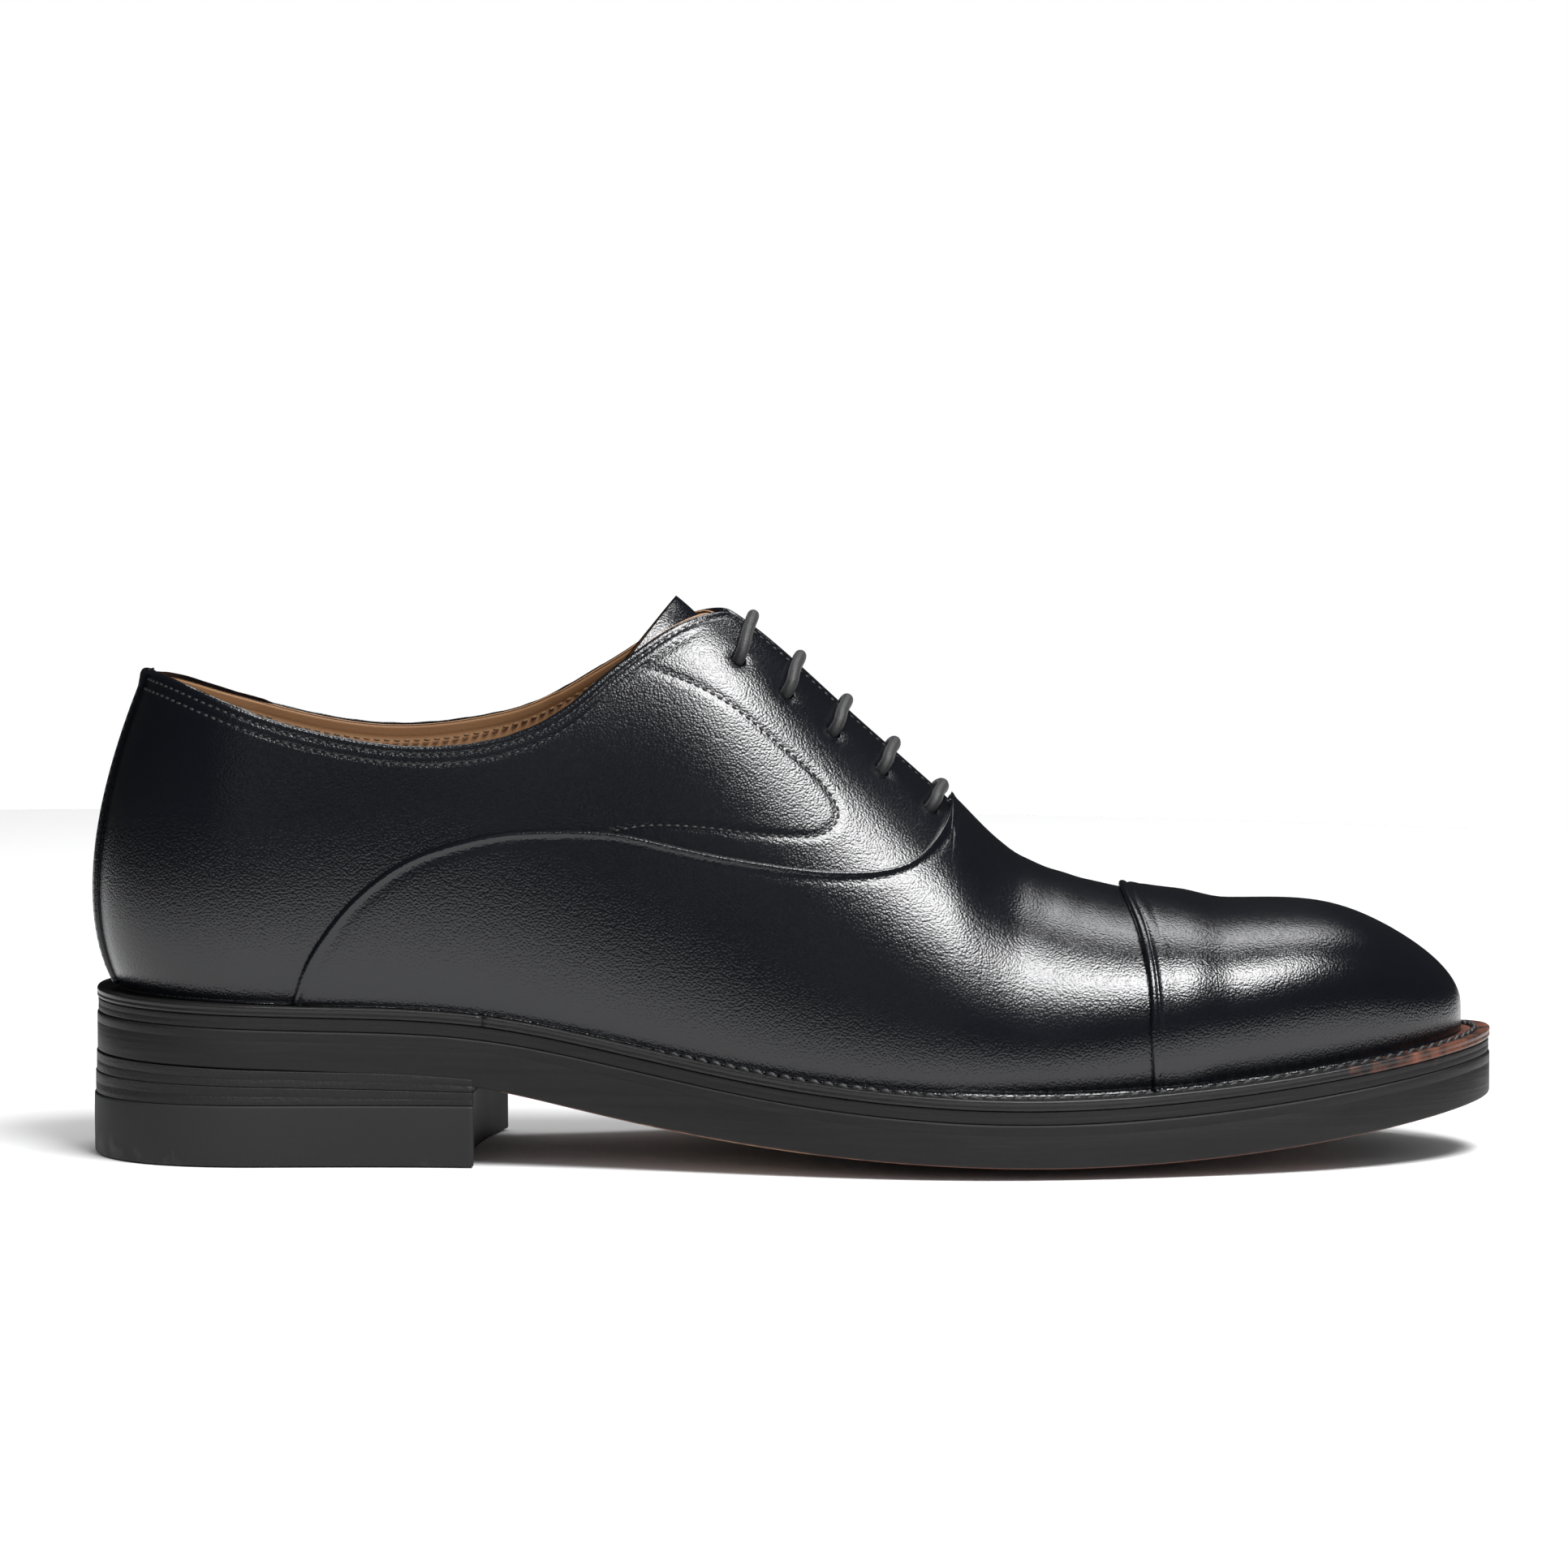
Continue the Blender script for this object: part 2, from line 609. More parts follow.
def edgeMaterial(name, dark, light, wornColour, roughness=(0.45, 0.65), layers=900.0,
                 wearAmount=1.0, bumpSize=0.0002, specular=0.35):
    material, tree, inputs = startMaterial(name, {"Specular IOR Level": specular})
    lines = useGroup(tree, layerGroup, {"Scale": layers})["Height"]
    grain = useGroup(tree, grainGroup, {"Scale": 1300.0, "Pebble": 1.0, "Wrinkle": 0.6})
    mask = useGroup(tree, wearGroup, {"Amount": wearAmount})["Mask"]
    colour = mixColour(tree, lines, dark, light)
    colour = mixColour(tree, mask, colour, wornColour)
    rough = put(tree, "MapRange", {0: grain["Mottle"], 1: 0.3, 2: 0.7, 3: roughness[0],
                                   4: roughness[1]}).outputs[0]
    height = sumOf(tree, timesOf(tree, lines, 1.0), timesOf(tree, grain["Height"], 0.35))
    tree.links.new(colour, inputs["Base Color"])
    tree.links.new(rough, inputs["Roughness"])
    tree.links.new(bumpFrom(tree, height, 0.7, bumpSize), inputs["Normal"])
    return material


def wovenMaterial(name, dark, light, scale, roughness=0.8, bumpSize=0.0002, sheen=0.0):
    material, tree, inputs = startMaterial(name, {"Roughness": roughness, "Sheen Weight": sheen})
    effect = useGroup(tree, fibreGroup, {"Scale": scale})
    tree.links.new(mixColour(tree, effect["Shade"], dark, light), inputs["Base Color"])
    tree.links.new(bumpFrom(tree, effect["Height"], 0.6, bumpSize), inputs["Normal"])
    return material


def metalMaterial(name, dark, light, roughness):
    material, tree, inputs = startMaterial(name, {"Metallic": 1.0})
    effect = useGroup(tree, grainGroup, {"Scale": 2600.0, "Pebble": 0.2, "Wrinkle": 0.3})
    tree.links.new(mixColour(tree, effect["Mottle"], dark, light), inputs["Base Color"])
    tree.links.new(put(tree, "MapRange", {0: effect["Mottle"], 1: 0.3, 2: 0.7,
                                          3: roughness * 0.7, 4: roughness * 1.3}).outputs[0],
                   inputs["Roughness"])
    tree.links.new(bumpFrom(tree, effect["Height"], 0.3, 0.00004), inputs["Normal"])
    return material


materials = {
    "upper": leatherMaterial("blackUpperLeather", (0.0026, 0.0031, 0.0046),
                             (0.0038, 0.0044, 0.0064), 1.0, roughness=(0.18, 0.24),
                             bumpSize=0.00016, wrinkle=0.12, specular=0.5),
    "lining": leatherMaterial("tanLiningLeather", (0.20, 0.10, 0.045), (0.29, 0.155, 0.07), 0.7,
                              roughness=(0.45, 0.62), bumpSize=0.00007, wrinkle=0.5),
    "welt": edgeMaterial("weltLeather", (0.006, 0.006, 0.0065), (0.013, 0.012, 0.012),
                         (0.16, 0.055, 0.03), roughness=(0.3, 0.5), wearAmount=1.0),
    "soleEdge": edgeMaterial("soleEdgeLeather", (0.005, 0.005, 0.0052), (0.012, 0.011, 0.0108),
                             (0.1, 0.042, 0.026), roughness=(0.5, 0.7), specular=0.28),
    "soleBottom": leatherMaterial("soleUndersideLeather", (0.085, 0.028, 0.018),
                                  (0.14, 0.048, 0.028), 0.6, roughness=(0.4, 0.6),
                                  wornColour=(0.33, 0.2, 0.12), bumpSize=0.00012),
    "heelStack": edgeMaterial("heelStackLeather", (0.004, 0.004, 0.0042), (0.012, 0.011, 0.0105),
                              (0.06, 0.035, 0.025), roughness=(0.5, 0.72), layers=620.0,
                              bumpSize=0.0006),
    "rubber": leatherMaterial("blackRubber", (0.012, 0.012, 0.0125), (0.018, 0.018, 0.0185), 0.5,
                              roughness=(0.55, 0.7), wornColour=(0.05, 0.047, 0.045),
                              bumpSize=0.00005, wrinkle=0.3, specular=0.3),
    "lace": wovenMaterial("waxedCottonLace", (0.004, 0.004, 0.005), (0.01, 0.01, 0.012), 1500.0,
                          roughness=0.5, bumpSize=0.00008, sheen=0.1),
    "thread": wovenMaterial("blackThread", (0.006, 0.006, 0.007), (0.016, 0.016, 0.018), 2600.0,
                            roughness=0.45, bumpSize=0.00005),
    "liningThread": wovenMaterial("tanThread", (0.1, 0.055, 0.025), (0.2, 0.11, 0.05), 2600.0),
    "canvas": wovenMaterial("stayCanvas", (0.3, 0.26, 0.2), (0.45, 0.4, 0.32), 1100.0),
    "stiffener": wovenMaterial("pressedStiffener", (0.25, 0.22, 0.18), (0.4, 0.35, 0.28), 700.0),
    "cork": wovenMaterial("corkPaste", (0.1, 0.05, 0.02), (0.36, 0.2, 0.1), 300.0),
    "insole": leatherMaterial("insoleLeather", (0.35, 0.2, 0.1), (0.48, 0.3, 0.16), 0.5,
                              roughness=(0.5, 0.7)),
    "eyelet": metalMaterial("blackedBrass", (0.03, 0.028, 0.025), (0.07, 0.06, 0.045), 0.4),
    "tip": metalMaterial("blackLaceTip", (0.01, 0.01, 0.011), (0.02, 0.02, 0.021), 0.35),
    "nail": metalMaterial("brassNail", (0.35, 0.24, 0.1), (0.5, 0.37, 0.17), 0.35),
    "steel": metalMaterial("springSteel", (0.25, 0.25, 0.26), (0.4, 0.4, 0.42), 0.3),
}


def finishPiece(obj, material, slotName, *replaced, body="shoe"):
    obj.data.materials.clear()
    obj.data.materials.append(materials[material])
    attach(obj, body)
    if replaced:
        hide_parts(*replaced)
    return obj


floorMaterial, tree, inputs = startMaterial("paperFloor", {"Roughness": 0.85,
                                                           "Specular IOR Level": 0.2})
speck = put(tree, "TexNoise", {"Scale": 40.0, "Detail": 3.0})
tree.links.new(mixColour(tree, speck.outputs["Fac"], studio["floorColour"],
                         studio["floorPale"]), inputs["Base Color"])
floorRing = [(studio["floorRadius"] * math.cos(a), studio["floorRadius"] * math.sin(a), 0.0)
             for a in np.linspace(0, 2 * math.pi, 96, endpoint=False)]
floor = addMesh("floor", np.array(floorRing), [tuple(range(96))], weld=False)
floor.location.z = -0.0002
floor.data.materials.append(floorMaterial)
print("materials built")

# Vamp: one piece from the two wings over the throat to the toe cap
vampLook = {"thickness": 1.2, "turnedEdge": 1.0, "lapUnderCap": 231.5, "lapDepth": 6.0,
            "creaseDepth": 0.28, "beadHeight": 0.3, "valleyDepth": 0.16,
            "creases": ((199.5, 2.2, 0.55), (206.0, 2.8, 0.8), (213.0, 2.4, 0.5))}
sideName = {-1: "Lateral", 1: "Medial"}
edgeSteps = [0, 0.12, 0.28, 0.5, 0.8, 1.15, 1.6, 2.3, 3.2, 4.5, 6.2, 8.4]


def seamLine3d(side):
    # the vamp seam as points on the upper, above the quarter's face
    line = pattern["vampSeam"]
    keep = line[line[:, 1] < instep(line[:, 0]) - 0.05]
    s = keep[:, 0]
    t = bisect(lambda v: upperAt(s, v, side)[..., 2] > keep[:, 1], np.zeros_like(s),
               np.ones_like(s))
    return s, t


def creasing(s, t):
    # soft folds across the ball of the foot
    across = smoothStep(t, 0.25, 0.75)
    rise = 0
    for centre, width, depth in vampLook["creases"]:
        line = centre + 5.0 * (1 - t)**2 + 1.2 * np.sin(9 * t)
        rise = rise + depth * bump(s, line, width) * across
    return rise


vampParts = []
vampStations = stations((44.9, 0.35), (52, 0.8), (62, 1.6), (172, 0.9), (181, 0.45),
                        (188.5, 0.7), (196, 1.3), (vampLook["lapUnderCap"], 1.3))
for side in (-1, 1):
    s = vampStations
    high = upToLine(s, side, pattern["vampSeam"])
    high = np.where(s > 186.4, 1.0, high)
    t, e = rowsFromTop(s, np.zeros_like(s), high, side, edgeSteps, 60)
    sGrid = np.repeat(s[:, None], t.shape[1], 1)
    sSeam, tSeam = seamLine3d(side)
    seam3d = upperAt(sSeam, tSeam, side)
    flatPoints = upperAt(sGrid, t, side)
    near = distanceToLine(flatPoints.reshape(-1, 3), seam3d).reshape(sGrid.shape)
    lift = vampLift(sGrid) - edgeRoll(near, vampLook["turnedEdge"]) * (sGrid < 196)
    lift = lift + vampLook["beadHeight"] * bump(near, 0.95, 0.5)
    lift = lift - vampLook["valleyDepth"] * bump(near, 2.3, 0.7)
    lift = lift - vampLook["creaseDepth"] * creasing(sGrid, t)
    outer = upperAt(sGrid, t, side, -lift)
    inner = upperAt(sGrid, t, side, vampLook["thickness"] - vampLift(sGrid))
    points, faces = shellParts(outer, inner, flip=side > 0, open="l")
    index = np.arange(sGrid.size).reshape(sGrid.shape)
    onRidge = set(index[s > 186.0, 0].tolist())
    edge = index[:, 0]
    rim = np.stack([edge[:-1], edge[1:], edge[1:] + sGrid.size, edge[:-1] + sGrid.size], -1)
    rim = rim[[not (a in onRidge and b in onRidge) for a, b in zip(edge[:-1], edge[1:])]]
    faces = np.concatenate([faces, rim if side < 0 else rim[:, ::-1]])
    vampParts.append((points, faces))
vamp = addMesh("vamp", *joinParts(vampParts))
finishPiece(vamp, "upper", "polished_leather", "vamp")
print("vamp made")

# Toe cap: its back edge is folded, with a second soft crease in front of it
capLook = {"thickness": 1.2, "turnedEdge": 0.9, "creaseAt": 1.9, "creaseDepth": 0.28,
           "secondCreaseAt": 4.6, "secondCreaseDepth": 0.10}


def capStation(t, side, depth=0.0):
    # station of the cap's back edge at each t
    s = np.full_like(t, 226.0)
    line = pattern["capSeam"][::-1]
    for _ in range(12):
        s = np.interp(upperAt(s, t, side, depth)[..., 2], line[:, 1], line[:, 0])
    return s


capParts = []
capSteps = np.array([0, 0.1, 0.25, 0.45, 0.7, 1.0, 1.35, 1.65, 1.9, 2.15, 2.5, 3.0, 3.7, 4.2,
                     4.6, 5.0, 5.6, 6.6, 8.0])
for side in (-1, 1):
    t = 1 - stations((0, 0.012), (0.3, 0.02), (1.0, 0.02))
    start = capStation(t, side)
    rest = np.linspace(0, 1, 52)[1:]
    far = shape["toeTip"] - start[:, None] - capSteps[-1]
    e = np.concatenate([np.repeat(capSteps[None], len(t), 0),
                        capSteps[-1] + far * np.sin(rest * math.pi / 2)[None]], 1)
    sGrid = start[:, None] + e
    tGrid = np.repeat(t[:, None], sGrid.shape[1], 1)
    lift = capLift(sGrid) - edgeRoll(e, capLook["turnedEdge"])
    lift -= capLook["creaseDepth"] * bump(e, capLook["creaseAt"], 0.38)
    lift -= capLook["secondCreaseDepth"] * bump(e, capLook["secondCreaseAt"], 0.5)
    outer = upperAt(sGrid, tGrid, side, -lift)
    tip = shape["toeTip"] - capLook["thickness"]
    inner = upperAt(np.minimum(sGrid, tip), tGrid, side, capLook["thickness"] - capLift(sGrid))
    outer, inner = outer.transpose(1, 0, 2), inner.transpose(1, 0, 2)
    capParts.append(shellParts(outer, inner, flip=side > 0, open="le"))
toeCap = addMesh("toeCap", *joinParts(capParts))
finishPiece(toeCap, "upper", "polished_leather", "toe_cap")
print("toe cap made")

# Quarters: rolled topline, rows of stitching pressed into the leather, eyelet holes
quarterLook = {"thickness": 1.2, "roll": 1.2, "rowOne": 2.2, "rowTwo": 4.4, "grooveDepth": 0.22,
               "grooveWidth": 0.42, "holeRadius": 1.55, "dishRadius": 3.0, "dishDepth": 0.45,
               "front": 190.0, "stitchDimple": 0.22, "eyelets": 5}
quarterSteps = [0, 0.08, 0.2, 0.4, 0.7, 1.1, 1.55, 1.9, 2.2, 2.5, 2.85, 3.3, 3.75, 4.1, 4.4,
                4.7, 5.05, 5.6, 6.6, 8.0]


def quarterLow(s, side):
    # the quarter runs on under the vamp seam by the lap
    line = pattern["vampSeam"].copy()
    line[:, 1] -= vampLook["lapDepth"]
    return np.where(s < 45, 0.0, upToLine(s, side, line))


def eyeletPlace(row, side):
    x = laceRows[row]
    t = float(upToAcross(np.array([x]), side, eyeletAcross)[0])
    return upperAt(x, t, side), outwardAt(x, t, side)


def punchParts(row, side, corners=20):
    # a pin along an eyelet's own axis, long enough to go through the leather
    centre, out = eyeletPlace(row, side)
    across = np.cross(out, (1, 0, 0))
    across /= np.linalg.norm(across)
    up = np.cross(out, across)
    around = np.linspace(0, 2 * math.pi, corners, endpoint=False)
    ring = (np.cos(around)[:, None] * across + np.sin(around)[:, None] * up)
    ring = ring * quarterLook["holeRadius"]
    points = np.concatenate([centre + ring + out * 4, centre + ring - out * 5])
    faces = [[i, (i + 1) % corners, corners + (i + 1) % corners, corners + i]
             for i in range(corners)]
    faces += [list(range(corners))[::-1], list(range(corners, 2 * corners))]
    return points, faces


def reinforcementLine(side):
    # the row of stitching that holds the facing's reinforcement
    line = pattern["facingStitch"]
    s = line[:, 0]
    t = bisect(lambda v: upperAt(s, v, side)[..., 2] > line[:, 1], np.full_like(s, 0.35),
               np.ones_like(s))
    return s, t


quarterStations = stations((0, 1.2), (12, 2.0), (110, 1.4), (118, 0.8), (187, 0.8),
                           (quarterLook["front"], 0.8))
for side in (-1, 1):
    s = quarterStations
    high = np.minimum(collarTop(s, side), 1.0)
    low = np.minimum(quarterLow(s, side), high - 0.03)
    t, e = rowsFromTop(s, low, high, side, quarterSteps, 96)
    sGrid = np.repeat(s[:, None], t.shape[1], 1)
    flatPoints = upperAt(sGrid, t, side)
    topEdge = upperAt(s, high, side)
    near = distanceToLine(flatPoints.reshape(-1, 3), np.stack(
        [np.interp(np.linspace(0, len(s) - 1, 1200), np.arange(len(s)), topEdge[:, i])
         for i in range(3)], -1)).reshape(sGrid.shape)
    groove = bump(near, quarterLook["rowOne"], quarterLook["grooveWidth"])
    groove = groove + bump(near, quarterLook["rowTwo"], quarterLook["grooveWidth"]) * (
        1 - smoothStep(sGrid, 128, 134))
    sStitch, tStitch = reinforcementLine(side)
    stitch3d = upperAt(sStitch, tStitch, side)
    dimple = distanceToLine(flatPoints.reshape(-1, 3), stitch3d).reshape(sGrid.shape)
    lift = -edgeRoll(near, quarterLook["roll"]) - quarterLook["grooveDepth"] * groove
    lift = lift - quarterLook["stitchDimple"] * bump(dimple, 0, 0.8)
    for row in range(quarterLook["eyelets"]):
        centre, _ = eyeletPlace(row, side)
        gap = np.linalg.norm(flatPoints - centre, axis=-1)
        lift = lift - quarterLook["dishDepth"] * bump(gap, 0, quarterLook["dishRadius"] * 0.7)
    sunk = vampRise - vampLift(sGrid)  # the quarter dips where the vamp comes level with it
    outer = upperAt(sGrid, t, side, sunk - lift)
    inner = upperAt(sGrid, t, side, quarterLook["thickness"] + sunk)
    quarter = addMesh("quarter" + sideName[side], *shellParts(outer, inner, flip=side > 0))
    cutter = addMesh("eyeletPunch" + sideName[side], *joinAny(
        [punchParts(row, side) for row in range(quarterLook["eyelets"])]))
    faceOutward(cutter.data)
    punch = quarter.modifiers.new("punch", "BOOLEAN")
    punch.operation = "DIFFERENCE"
    punch.solver = "EXACT"
    punch.object = cutter
    punched = bpy.data.meshes.new_from_object(
        quarter.evaluated_get(bpy.context.evaluated_depsgraph_get()))
    quarter.modifiers.clear()
    quarter.data = punched
    punched.polygons.foreach_set("use_smooth", [True] * len(punched.polygons))
    bpy.data.objects.remove(cutter)
    cadName = sideName[side].lower()
    finishPiece(quarter, "upper", "polished_leather", "quarter_" + cadName,
                "reinforcement_" + cadName)
print("quarters made")

# Backstay: the strip over the heel seam, with a small pull bump at its top
backstayLook = {"halfSpan": 6.4, "proud": 1.05, "roll": 0.8, "top": 103.9, "nubHeight": 0.9}
rows = np.concatenate([[0, 0.15, 0.35, 0.6, 0.9, 1.4], np.linspace(2.2, 72, 46)])
spans = np.concatenate([-1 + np.array([0, 0.02, 0.05, 0.09, 0.15, 0.22]),
                        np.linspace(-0.7, 0.7, 13),
                        1 - np.array([0.22, 0.15, 0.09, 0.05, 0.02, 0])])


def backstayGrid(depthExtra, lifted):
    out = np.zeros((len(spans), len(rows), 3))
    for i, span in enumerate(spans):
        side = 1 if span > 0 else -1
        s = np.full(len(rows), abs(span) * backstayLook["halfSpan"])
        height = backstayLook["top"] - rows - 0.6 * span**2
        t = upToHeight(s, side, np.maximum(height, 36.4))
        edge = np.minimum((1 - abs(span)) * 11, rows)
        lift = backstayLook["proud"] - edgeRoll(edge, backstayLook["roll"])
        lift = lift - 0.2 * bump((1 - abs(span)) * 11, 1.6, 0.4)
        lift = lift + backstayLook["nubHeight"] * bump(rows, 1.2, 1.6) * bump(span, 0, 0.35)
        out[i] = upperAt(s, t, side, -lift if lifted else depthExtra)
    return out


backstay = addMesh("backstay", *shellParts(backstayGrid(0, True), backstayGrid(-0.02, False),
                                           flip=True))
finishPiece(backstay, "upper", "polished_leather", "backstay")
print("backstay made")

# Tongue and its lining
tongueLook = {"halfWidth": 25.0, "thickness": 1.2, "corner": 7.0,
              "front": 189.0}


def tongueDepth(x):
    settle = smoothStep(x, 166, 189)
    return 7.6 - 0.6 * settle - 3.0 * (1 - smoothStep(x, 124, 139))


def tongueGrid(side, extra, inset=0.0):
    v = np.concatenate([np.array([0, 0.01, 0.025, 0.05, 0.08, 0.12, 0.17]),
                        np.linspace(0.23, 1, 16)])
    u = np.concatenate([np.array([0, 0.003, 0.007, 0.012, 0.018, 0.026, 0.036, 0.05]),
                        np.linspace(0.07, 1, 50)])

    def pointAt(x, share):
        # share 0 is the tongue's side edge and 1 its middle
        half = (tongueLook["halfWidth"] - inset) * (1 - 0.28 * smoothStep(x, 140, 189))
        edge = upToAcross(x, side, half, tongueDepth(x))
        return upperAt(x, edge + (1 - edge) * share, side, tongueDepth(x) + extra)

    def belowTop(x):
        p = pointAt(x, v)
        return p[:, 2] < 127 + 1.2685 * (p[:, 0] - 132.4) - inset

    ends = bisect(belowTop, np.full_like(v, 104.0), np.full_like(v, 189.0), 18)
    ends = ends + tongueLook["corner"] * np.maximum(0, 1 - v / 0.3)**2.4
    x = ends[None] + (tongueLook["front"] - ends[None]) * u[:, None]
    return pointAt(x, np.repeat(v[None], len(u), 0))


def tongueShell(name, top, bottom, inset):
    parts = []
    for side in (-1, 1):
        outer = tongueGrid(side, top, inset)
        inner = tongueGrid(side, bottom, inset)
        parts.append(shellParts(outer, inner, flip=side > 0, open="h"))
    return addMesh(name, *joinParts(parts))


tongue = tongueShell("tongue", 0.0, tongueLook["thickness"], 0.0)
finishPiece(tongue, "upper", "polished_leather", "tongue", body="tongue_flap")
tongueLining = tongueShell("tongueLining", tongueLook["thickness"] + 0.1,
                           tongueLook["thickness"] + 0.95, 0.4)
finishPiece(tongueLining, "lining", "lining_leather", "tongue_lining", body="tongue_flap")
print("tongue made")

# Quarter linings: tan leather, close to the collar and swelling over the pad below it
liningLook = {"thickness": 0.8, "rowAt": 2.6, "front": 183.0, "below": 1.15}
liningSteps = [0, 0.15, 0.35, 0.6, 1.0, 1.6, 2.1, 2.6, 3.1, 3.9, 4.8, 6.0, 8.0, 10.5]


def liningDepth(x):
    return 3.2 - 1.3 * smoothStep(x, 74, 100)


for side in (-1, 1):
    s = stations((0, 1.5), (14, 2.2), (110, 1.5), (118, 1.1), (liningLook["front"], 1.1))
    high = np.minimum(collarTop(s, side, 2.0), 0.999)
    low = np.zeros_like(s)
    t, e = rowsFromTop(s, low, high, side, np.array(liningSteps) + liningLook["below"], 60,
                       depth=2.0)
    e = e - liningLook["below"]
    sGrid = np.repeat(s[:, None], t.shape[1], 1)
    closeTop = np.where(sGrid < 100, 1.35, 1.75)
    depth = closeTop + (liningDepth(sGrid) - closeTop) * smoothStep(e, 0.5, 9.0)
    groove = 0.25 * bump(e, liningLook["rowAt"], 0.5)
    outer = upperAt(sGrid, t, side, depth)
    inner = upperAt(sGrid, t, side, depth + liningLook["thickness"] - groove
                    - edgeRoll(np.minimum(e, 3), 0.5))
    lining = addMesh("quarterLining" + sideName[side], *shellParts(outer, inner, flip=side > 0))
    cadName = sideName[side].lower()
    finishPiece(lining, "lining", "lining_leather", "quarter_lining_" + cadName,
                "collar_pad_" + cadName, "facing_stay_" + cadName)
print("linings made")

# Lace: one cord through the eyelets, as straight bars over the facings
laceLook = {"radius": 1.25, "over": -1.7, "beyond": 2.4, "braidDepth": 0.22, "braidTurns": 0.42,
            "strands": 8}


def liningInside(x):
    return liningDepth(x) + 0.8


def surfacePoint(x, side, across, depth):
    t = float(upToAcross(np.array([float(x)]), side, across)[0])
    return upperAt(x, t, side, depth)


def eyeletLine(row, side, depth, beyond=0.0):
    # a point on an eyelet's own axis
    x = laceRows[row]
    t = float(upToAcross(np.array([x]), side, eyeletAcross)[0])
    point, normal = upperAt(x, t, side), outwardAt(x, t, side)
    sunk = (point - upperAt(x, t, side, depth)) @ normal
    return point - normal * (sunk + beyond)


def lacePoints():
    over, beyond = laceLook["over"], laceLook["beyond"]
    points = [surfacePoint(158, -1, 21.0, 4.9), surfacePoint(175, -1, 21.0, 4.9)]
    side = -1
    for row in range(4, -1, -1):
        x = laceRows[row]
        points += [eyeletLine(row, side, liningInside(x), beyond), eyeletLine(row, side, over)]
        bars = ((x + 1.7, 11.5), (x + 2.9, 5.5))
        points += [surfacePoint(a, side, across, over) for a, across in bars]
        points += [surfacePoint(a, -side, across, over) for a, across in bars[::-1]]
        points += [eyeletLine(row, -side, over), eyeletLine(row, -side, liningInside(x), beyond)]
        side = -side
    return points + [surfacePoint(146, 1, 21.0, 4.9), surfacePoint(160, 1, 21.0, 4.9)]


def routeOf(name, points):
    # smooth spline with these control points, read back as a fine line in millimetres
    curve = bpy.data.curves.new(name, "CURVE")
    curve.dimensions = "3D"
    curve.resolution_u = 14
    spline = curve.splines.new("NURBS")
    spline.points.add(len(points) - 1)
    for point, co in zip(spline.points, toModel(points)):
        point.co = (*co, 1)
    spline.order_u = 3
    spline.use_endpoint_u = True
    obj = bpy.data.objects.new(name, curve)
    scene.collection.objects.link(obj)
    mesh = bpy.data.meshes.new_from_object(
        obj.evaluated_get(bpy.context.evaluated_depsgraph_get()))
    line = np.array([v.co for v in mesh.vertices], float) * 1000
    bpy.data.objects.remove(obj)
    bpy.data.meshes.remove(mesh)
    line[:, 0] += shape["length"] / 2
    line[:, 1] -= shape["sideways"]
    return line


def evenly(line, step):
    run = np.concatenate([[0], np.cumsum(np.linalg.norm(np.diff(line, axis=0), axis=1))])
    keep = np.concatenate([[True], np.diff(run) > 1e-9])
    line, run = line[keep], run[keep]
    at = np.linspace(0, run[-1], max(2, int(round(run[-1] / step)) + 1))
    return np.stack([np.interp(at, run, line[:, i]) for i in range(3)], -1), at


def framesAlong(line):
    # direction and two square vectors at each point, carried along without twist
    ahead = np.gradient(line, axis=0)
    ahead /= np.linalg.norm(ahead, axis=1, keepdims=True)
    across = np.zeros_like(line)
    start = np.cross(ahead[0], (0, 0, 1.0))
    across[0] = start / np.linalg.norm(start)
    for i in range(1, len(line)):
        v = across[i - 1] - ahead[i] * (across[i - 1] @ ahead[i])
        across[i] = v / np.linalg.norm(v)
    return ahead, across, np.cross(ahead, across)


def tubeParts(line, radius, around=20):
    # radius(along, angle) may vary, so a braid can be modelled
    points, at = line
    ahead, across, up = framesAlong(points)
    angle = np.linspace(0, 2 * math.pi, around, endpoint=False)
    r = radius(at[:, None], angle[None])
    ring = (across[:, None] * np.cos(angle)[None, :, None]
            + up[:, None] * np.sin(angle)[None, :, None]) * r[..., None]
    body = points[:, None] + ring
    faces = gridFaces(len(points), around, closed=True)[:, ::-1].tolist()
    n = len(points) * around
    verts = np.concatenate([body.reshape(-1, 3), points[:1], points[-1:]])
    faces += [[n, (j + 1) % around, j, j] for j in range(around)]
    last = n - around
    faces += [[n + 1, last + j, last + (j + 1) % around, last + j] for j in range(around)]
    return verts, [f[:3] if len(set(f)) < 4 else f for f in faces]


def braided(along, angle):
    strands, turns = laceLook["strands"], laceLook["braidTurns"]
    one = np.abs(np.sin(strands / 2 * (angle + along * turns * 2)))
    two = np.abs(np.sin(strands / 2 * (angle - along * turns * 2)))
    return laceLook["radius"] + laceLook["braidDepth"] * (np.maximum(one, two) - 0.7)


laceRoute = routeOf("laceRoute", np.array(lacePoints()))
lace = addMesh("lace", *joinAny([tubeParts(evenly(laceRoute, 0.32), braided, 24)]))
finishPiece(lace, "lace", "lace_cord", "lace")
laceRun = evenly(laceRoute, 0.5)[1][-1]
print("lace made, length in mm:", round(float(laceRun), 1))


# Stitches: small pillows of thread sunk into the leather

